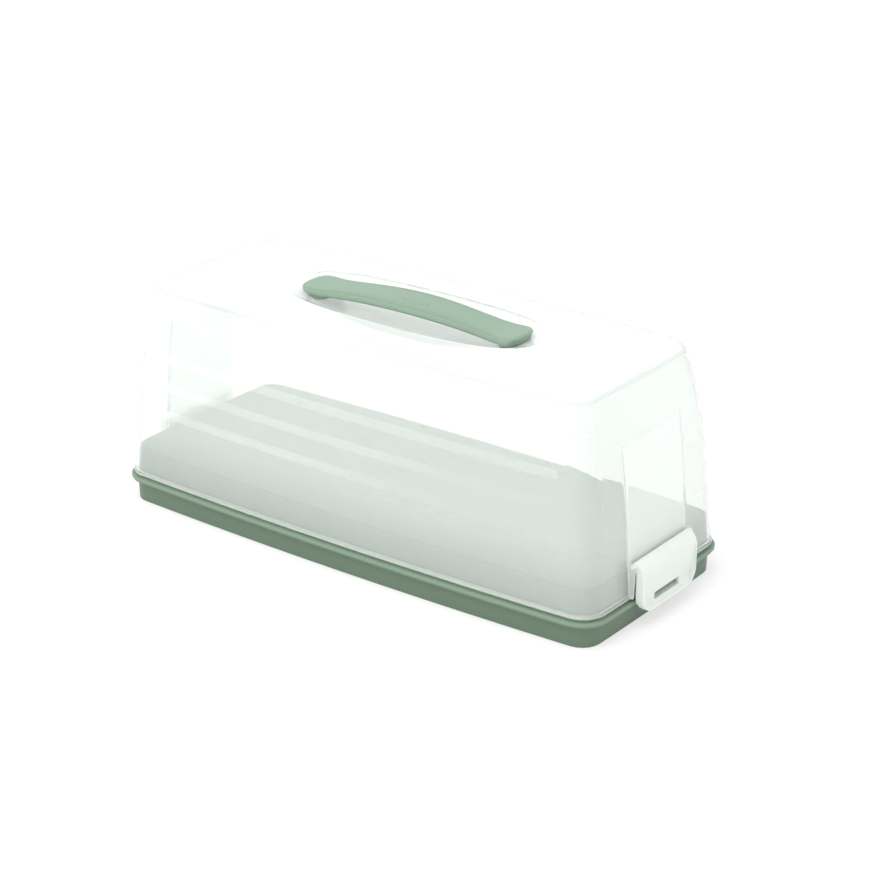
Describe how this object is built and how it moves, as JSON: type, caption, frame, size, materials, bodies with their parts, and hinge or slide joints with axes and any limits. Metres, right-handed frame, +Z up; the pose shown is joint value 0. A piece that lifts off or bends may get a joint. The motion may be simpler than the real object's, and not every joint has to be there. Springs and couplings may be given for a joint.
{
  "type": "cake carrier",
  "caption": "Long cake carrier: a raised tray, a clear lift-off hood with a slide-on handle in a dish, and hinged end clips that hook under the tray's rim.",
  "frame": {"origin": "on the table under the middle of the tray", "axes": "+Z up, +X along the length towards one end clip, +Y towards the back long side"},
  "size_m": [0.364, 0.1506, 0.1494],
  "materials": {
    "sage_plastic": "satin moulded, sage green",
    "pale_sage_plastic": "satin moulded, paler sage green",
    "clear_plastic": "clear and glossy, with a matt panel on each end",
    "milky_plastic": "milky, half clear, satin"
  },
  "bodies": {
    "tray": {"tray": "sage_plastic"},
    "hood": {"hood": "clear_plastic", "handle": "pale_sage_plastic"},
    "left_clip": {"left_clip": "milky_plastic"},
    "right_clip": {"right_clip": "milky_plastic"}
  },
  "joints": [
    {"name": "hood_lift", "type": "slide", "parent": "tray", "child": "hood", "axis": [0, 0, 1], "range_m": [0, 0.055]},
    {"name": "right_clip_pivot", "type": "hinge", "parent": "hood", "child": "right_clip", "pos_m": [0.17499, 0, 0.0385], "axis": [0, -1, 0], "range_deg": [0, 140]},
    {"name": "left_clip_pivot", "type": "hinge", "parent": "hood", "child": "left_clip", "pos_m": [-0.17499, 0, 0.0385], "axis": [0, 1, 0], "range_deg": [0, 140]}
  ],
  "couplings": [
    {"joint": "right_clip_pivot", "follows": "hood_lift", "rad_per_m": 44.4},
    {"joint": "left_clip_pivot", "follows": "hood_lift", "rad_per_m": 44.4}
  ]
}
